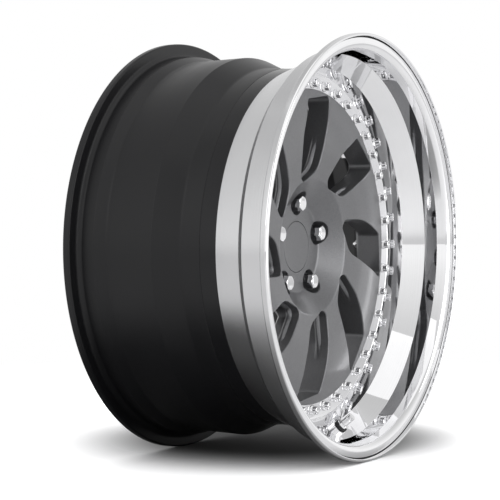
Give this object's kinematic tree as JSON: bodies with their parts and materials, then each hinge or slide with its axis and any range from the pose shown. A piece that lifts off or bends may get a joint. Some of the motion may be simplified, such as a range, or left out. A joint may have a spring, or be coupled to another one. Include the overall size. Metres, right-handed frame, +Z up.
{
  "type": "three-piece alloy wheel",
  "caption": "Bolted three-piece car wheel with a polished dished lip, a black barrel and a grey swirl-spoke centre for mounting a tyre on a hub.",
  "frame": {"origin": "centre of the wheel, on the axle, halfway between the two rim edges", "axes": "+Y along the axle towards the vehicle, so the street face looks to -Y; +Z up, with the valve at the bottom"},
  "size_m": [0.5172, 0.2732, 0.5172],
  "materials": {
    "polished_lip": "mirror polished in the dish, fine turned on the tyre side",
    "black_barrel": "satin black",
    "centre_paint": "satin anthracite with fine flake",
    "chrome_hardware": "bright plated",
    "seal_rubber": "moulded black rubber",
    "spring_steel": "plain spring wire",
    "valve_brass": "plain brass"
  },
  "bodies": {
    "root": {"outer_lip": "polished_lip", "inner_barrel": "black_barrel", "rim_seal": "seal_rubber", "wheel_centre": "centre_paint", "centre_cap": "centre_paint", "cap_spring": "spring_steel", "lug_bolts": "chrome_hardware", "assembly_bolts": "chrome_hardware", "assembly_nuts": "chrome_hardware", "valve_grommet": "seal_rubber", "valve_nut": "chrome_hardware", "valve_stem": "chrome_hardware", "valve_core": "valve_brass", "valve_cap": "chrome_hardware"}
  },
  "joints": []
}
